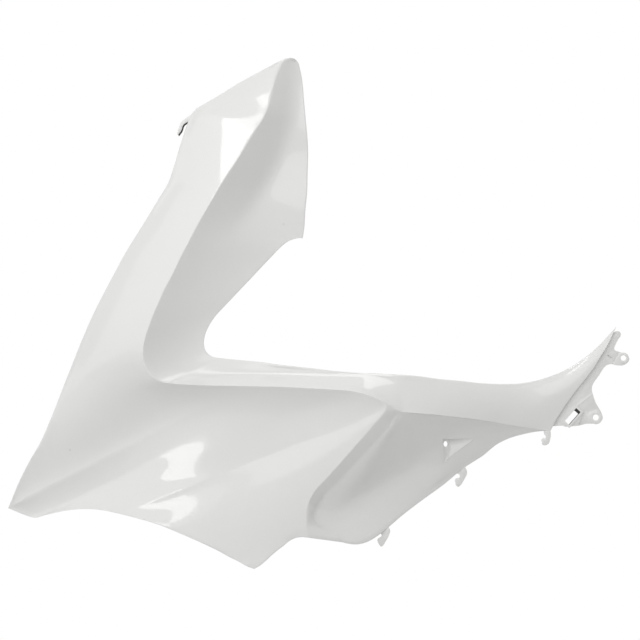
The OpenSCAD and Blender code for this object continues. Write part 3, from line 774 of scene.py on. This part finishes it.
bpy.ops.mesh.primitive_cylinder_add(
    vertices=48, radius=scoop["bore"] / 2 * mm, depth=scoop["boreLong"] * mm,
    location=[v * mm for v in scoop["seat"]],
    rotation=(math.pi / 2, 0, math.radians(scoop["turn"])))
shape(paintedSkin, bpy.context.object, "DIFFERENCE", "MANIFOLD")
smooth(paintedSkin)
own(paintedSkin)
print("skin and scoop", len(paintedSkin.data.polygons))

# Rear flange with its pads, holes and clip window; what is added to the plate reaches
# into it as far as sunk, and every hole is cut from one end of through to the other
flangePlan = {
    "edge": [
        (-45, -9.5), (-36, -9), (-34, -10.5), (-27.5, -10), (-17.5, -9), (-11, -7),
        (-2.5, -7), (3, -6), (7, -3), (8, 0), (6, 6), (2, 12.5), (-1, 18), (-3.5, 26.5),
        (-4.5, 30.5), (-4, 35), (-1.5, 39.5), (3, 45.5), (9, 55), (12.5, 58), (18, 59),
        (20, 58), (26, 57), (31, 57.5), (35.5, 60.5), (37.5, 65), (34.5, 69.5), (26, 72.5),
        (21, 74), (20, 76.5), (24, 85), (28, 90.5), (27, 94.5), (23, 95.5), (18, 92.5),
        (1, 66), (-24.5, 31.5), (-39.5, 11), (-51, -6), (-49.5, -10)],
    "front": 1, "thick": 3, "sunk": 2.5, "through": (-5, 10), "bevel": 0.35,
    "rear": (0, 0), "rearBore": 6.5, "pad": 15, "padDepth": (0, 3.5),
    "upper": (30.5, 65.5), "upperBore": 6, "upperPad": 12, "upperRise": 0.5,
    "window": (-25.5, 1), "long": 19, "wide": 6.5, "turn": 48.5, "rim": 2.5, "rise": 1,
    "facet": [(-14, 5), (-23.3, 10.1), (-15.1, 15.1), (-3.7, 25.5), (8, 12), (6, -12), (-20, -12)],
    "facetBack": [2.2, 0.9, 0.9, 0.9, 3, 3, 2.8],
    # Centre x and z, length, width, turn and depth; then the ridge, with its height
    "grooves": [(21.8, 65.5, 14.4, 0.6, 63.7, 0.5), (15.6, 66.8, 6.6, 1.3, -30, 2.4)],
    "ridge": (-13.5, 18, 25, 0.9, 38), "ridgeRise": 0.4,
    # Dark inner walls of the window, in unpainted black plastic that also stands in as painted
    # shade in the window: offset along and across, length and width
    "walls": [(8.2, 0, 4, 8), (0, -3.2, 19, 1.1)], "wallAndShadeDepth": (2.6, 3.9),
}
p = flangePlan
out, through = p["through"][0], p["through"]
flange = plate(p["edge"], p["front"], p["thick"], 1)
shape(flange, wedge(p["facet"], [out] * len(p["facet"]), p["facetBack"]), "DIFFERENCE")
for *place, deep in p["grooves"]:
    shape(flange, slotted(*place, out, p["front"] + deep), "DIFFERENCE")
rim = 2 * p["rim"]
for extra in (
        slotted(*p["ridge"], p["front"] - p["ridgeRise"], p["sunk"]),
        disc(*p["rear"], p["pad"], *p["padDepth"]),
        disc(*p["upper"], p["upperPad"], p["front"] - p["upperRise"], p["sunk"]),
        slotted(*p["window"], p["long"] + rim, p["wide"] + rim, p["turn"],
                p["front"] - p["rise"], p["sunk"])):
    shape(flange, extra, "UNION")
for hole in (slotted(*p["window"], p["long"], p["wide"], p["turn"], *through),
             disc(*p["rear"], p["rearBore"], *through, 48),
             disc(*p["upper"], p["upperBore"], *through, 48)):
    shape(flange, hole, "DIFFERENCE")
own(dress(flange, "rearFlange", pearl, p["bevel"]))
# Black slabs inside the clip window: partly its unpainted inner walls, partly painted shade
for i, (along, across, long, wide) in enumerate(p["walls"]):
    x, z = turnedFrom(*p["window"], p["turn"], along, across)
    wall = slotted(x, z, long, wide, p["turn"], *p["wallAndShadeDepth"])
    own(dress(wall, "windowWallAndShade%d" % (i + 1), raw, 0))

# Hooks on the lower rear edge: the front depth and the outline of each
hookPlan = {
    "thick": 4, "bevel": 0.5,
    "each": [
        (-3.2, [
            (-57.5, -13), (-57.5, -18), (-55, -21), (-56, -23), (-58.5, -22.5), (-60.5, -25),
            (-59.5, -27.5), (-60, -29.5), (-57.5, -31), (-54.5, -30.5), (-52, -29),
            (-51, -26.5), (-50, -22.5), (-49.5, -19), (-50.5, -12.5)]),
        (-9.5, [
            (-144, -55), (-142.5, -58.5), (-142, -61), (-143, -64.5), (-146, -69.5),
            (-148.5, -74), (-152, -77), (-155, -74.5), (-155, -72), (-156, -69),
            (-153.5, -66.5), (-151, -67), (-150, -64.5), (-151, -62.5), (-155.5, -61),
            (-153, -55), (-147, -51.5)]),
        (-45.5, [
            (-228.5, -121), (-227, -124), (-227.5, -126.5), (-229.5, -131.5),
            (-232.5, -136.5), (-234.5, -140), (-237, -142), (-239, -140.5), (-241, -136.5),
            (-241.5, -133.5), (-238.5, -131.5), (-236, -129.5), (-239.5, -125), (-235, -120),
            (-229.5, -117)])],
}
for i, (front, edge) in enumerate(hookPlan["each"]):
    hook = plate(edge, front, hookPlan["thick"], 1)
    own(dress(hook, "hook%d" % (i + 1), pearl, hookPlan["bevel"]))

# Tongue at the upper front edge, with a black copy behind it that shows as a dark line below it:
# partly the unpainted underside, partly painted shade
tonguePlan = {
    "edge": [
        (-441, 339), (-448.5, 332.5), (-453.5, 329), (-457.5, 326), (-459.5, 321),
        (-462, 314), (-461.5, 310.5), (-457, 316.5), (-455.5, 322.5), (-451, 325.5),
        (-446.5, 329), (-439.5, 334)],
    "front": -16, "thick": 14, "bevel": 0.4,
    "underShift": (1.3, -1), "underFront": -14, "underThick": 11, "underBevel": 0.3,
}
p = tonguePlan
own(dress(plate(p["edge"], p["front"], p["thick"], 1), "tongue", pearl, p["bevel"]))
# The shifted black copy is partly unpainted plastic, partly painted shade under the tongue
under = [(x + p["underShift"][0], z + p["underShift"][1]) for x, z in p["edge"]]
under = plate(under, p["underFront"], p["underThick"], 1)
own(dress(under, "tongueUndersideAndShade", raw, p["underBevel"]))

# Back side: locating bosses at x, z and front depth, and ribs that stand on a row of
# the grid from one column to another
backPlan = {
    "bosses": [(-579.5, -35.5, -39), (-344.5, 213, -21.5)], "bossD": 7, "bossH": 12,
    "bossBevel": 0.6,
    "ribs": [(44, 9, 50), (72, 9, 50), (96, 9, 50), (132, 14, 50), (196, 14, 55)],
    "ribThick": 2, "ribHigh": 7, "ribRoot": 1.2, "ribBevel": 0.3,
}
p = backPlan
for i, (x, z, y) in enumerate(p["bosses"]):
    boss = disc(x, z, p["bossD"], y, y + p["bossH"], 48)
    own(dress(boss, "backBoss%d" % (i + 1), raw, p["bossBevel"], 3))


def rib(name, k, first, last):
    cols = np.arange(first, last + 1, 2)
    # Half the thickness to either side, square to the row
    aside = (skin[k + 3, cols] - skin[k - 3, cols])[:, :2]
    aside = aside / np.linalg.norm(aside, axis=1, keepdims=True) * backPlan["ribThick"] / 2
    aside = np.stack([aside[:, 0], 0 * aside[:, 0], aside[:, 1]], axis=1)
    low = inner[k, cols] - [0, backPlan["ribRoot"], 0]
    high = inner[k, cols] + [0, backPlan["ribHigh"], 0]
    pts = np.stack([low - aside, low + aside, high + aside, high - aside], axis=1)
    n = len(cols)
    faces = [(0, 1, 2, 3), tuple(4 * n - 4 + i for i in (3, 2, 1, 0))]
    for i in range(n - 1):
        for q in range(4):
            a, b = 4 * i + q, 4 * i + (q + 1) % 4
            faces.append((a, a + 4, b + 4, b))
    o = meshed(name, pts.reshape(-1, 3), faces)
    outward(o)
    own(dress(o, name, raw, backPlan["ribBevel"], 1))


for i, place in enumerate(p["ribs"]):
    rib("backRib%d" % (i + 1), *place)
print("small pieces done")

# Ground, light and camera in metres and watts; white is what the camera and
# reflections see of the world, fill is its light on the object
studio = {
    "floorSize": 2.4, "floorPlace": (-0.3, -0.3, -0.55), "paper": (0.85, 0.85, 0.85),
    "paperRough": 0.8, "fill": 0.4, "white": 1,
    "aim": (-0.3044, -0.04, 0.1075), "far": 12, "field": 0.704, "sensor": 36, "clip": 20,
    "lamps": [
        ("lowBox", (-1.4, -1.94, 0.19), (0.5, 0.3), 1.8),
        ("highBox", (-1.1, -1.37, 1.66), (0.7, 0.36), 3.4),
        ("leftBox", (-1.75, -1.45, 0.95), (2.2, 2.2), 10),
        ("topBox", (0.08, -0.04, 2.27), (1.2, 1.2), 9),
        ("frontBox", (-0.3, -2.03, 1.04), (1.4, 1.4), 6.5)],
}
bpy.ops.mesh.primitive_plane_add(size=studio["floorSize"], location=studio["floorPlace"])
floor = bpy.context.object
floor.name = "floor"
floor.data.materials.append(Paint("floorPaper", studio["paper"], studio["paperRough"]).made)
floor.select_set(False)

scene = bpy.context.scene
scene.view_settings.view_transform = "Standard"
scene.world = bpy.data.worlds.new("studio")
scene.world.use_nodes = True
tree = scene.world.node_tree
rays = addNode(tree, "ShaderNodeLightPath", {}, {}).outputs
seen, glossy, clear = [Wire(tree, rays["Is %s Ray" % kind])
                       for kind in ("Camera", "Glossy", "Transmission")]
fill = tree.nodes["Background"]
fill.inputs["Color"].default_value = (1, 1, 1, 1)
fill.inputs["Strength"].default_value = studio["fill"]
white = addNode(tree, "ShaderNodeBackground", {},
                {"Color": (1, 1, 1, 1), "Strength": studio["white"]})
choose = addNode(tree, "ShaderNodeMixShader", {}, {
    0: seen.top(glossy).top(clear).out, 1: fill.outputs[0], 2: white.outputs[0]})
tree.links.new(choose.outputs[0], tree.nodes["World Output"].inputs["Surface"])

aim = Vector(studio["aim"])
for name, place, size, power in studio["lamps"]:
    bpy.ops.object.light_add(type="AREA", location=place)
    lamp = bpy.context.object
    lamp.name = name
    lamp.data.shape = "RECTANGLE"
    lamp.data.size, lamp.data.size_y = size
    lamp.data.energy = power
    lamp.rotation_euler = (aim - Vector(place)).to_track_quat("-Z", "Y").to_euler()
    lamp.select_set(False)

far = studio["far"]
bpy.ops.object.camera_add(location=(aim.x, aim.y - far, aim.z))
camera = bpy.context.object
camera.name = "camera"
camera.rotation_euler = (math.radians(90), 0, 0)
camera.data.sensor_width = studio["sensor"]
camera.data.lens = studio["sensor"] * far / studio["field"]
camera.data.clip_end = studio["clip"]
camera.select_set(False)
scene.camera = camera
